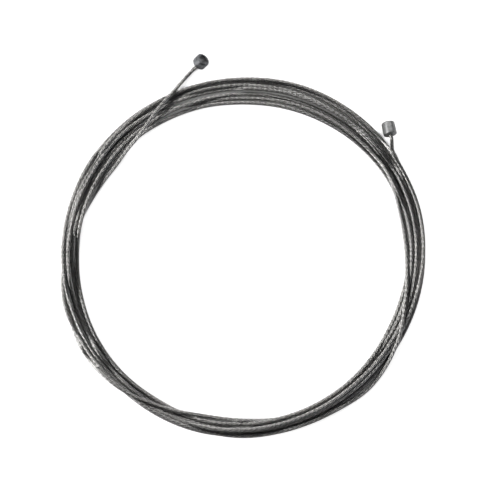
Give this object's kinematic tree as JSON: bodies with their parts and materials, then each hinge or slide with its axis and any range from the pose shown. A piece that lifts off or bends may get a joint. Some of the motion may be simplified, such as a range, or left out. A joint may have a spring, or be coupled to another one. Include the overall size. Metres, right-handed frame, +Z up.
{
  "type": "shift cable",
  "caption": "Stranded steel shift cable with a wide cast head on one end and a narrower one on the other, wound in a flat round coil.",
  "frame": {"origin": "on the table under the middle of the cable's outer box", "axes": "+Z up, along the coil's axis; +Y along the longer side of the coil with its heads, towards the large head's edge; +X to the right, towards the small head"},
  "size_m": [0.1142, 0.1218, 0.0051],
  "materials": {
    "strand_steel": "bright stranded steel wire, lightly greased",
    "large_head_zinc": "die-cast zinc alloy, dull and slightly mottled",
    "small_head_zinc": "die-cast zinc alloy, smoother and brighter"
  },
  "bodies": {
    "root": {"cable_coil": "strand_steel", "wire_end_large": "strand_steel", "wire_end_small": "strand_steel", "head_large": "large_head_zinc", "head_small": "small_head_zinc"}
  },
  "joints": []
}
